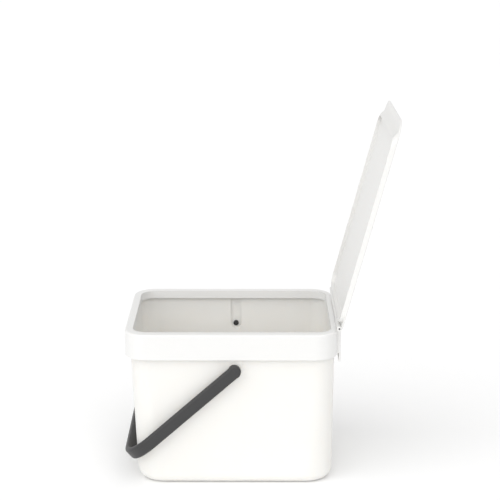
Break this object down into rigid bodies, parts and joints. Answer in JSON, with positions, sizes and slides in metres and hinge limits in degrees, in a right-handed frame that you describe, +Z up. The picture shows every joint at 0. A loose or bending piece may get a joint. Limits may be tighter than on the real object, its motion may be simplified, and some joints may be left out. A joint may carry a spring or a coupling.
{
  "type": "recycling bin",
  "caption": "Small countertop recycling bin: tapered white bucket, lift-off rim frame, hinged tray lid standing open and a dark bail handle lowered to the front.",
  "frame": {"origin": "on the underside of the bucket, under the middle of the rim frame", "axes": "+Z up, +Y towards the hinge, -Y towards the front where the lid is lifted and the handle rests, X along the handle's pivots"},
  "size_m": [0.215, 0.3304, 0.4496],
  "materials": {
    "bucket_white": "fine matt moulded polypropylene, warm white",
    "rim_white": "satin moulded polypropylene, cool white",
    "lid_white": "satin moulded polypropylene, cool white",
    "dark_grey": "soft matt dark grey moulded plastic",
    "pin_grey": "satin dark grey plastic"
  },
  "bodies": {
    "bucket": {"bucket": "bucket_white"},
    "rim": {"rim_frame": "rim_white", "left_hinge_pin": "pin_grey", "right_hinge_pin": "pin_grey"},
    "lid": {"lid": "lid_white"},
    "handle": {"handle": "dark_grey"}
  },
  "joints": [
    {"name": "rim_lift", "type": "slide", "parent": "bucket", "child": "rim", "axis": [0, 0, 1], "range_m": [0, 0.04]},
    {"name": "lid_hinge", "type": "hinge", "parent": "rim", "child": "lid", "pos_m": [0, 0.1298, 0.1988], "axis": [1, 0, 0], "range_deg": [0, 104.9]},
    {"name": "handle_swing", "type": "hinge", "parent": "bucket", "child": "handle", "pos_m": [0, 0.0041, 0.1498], "axis": [-1, 0, 0], "range_deg": [0, 171.6]}
  ]
}
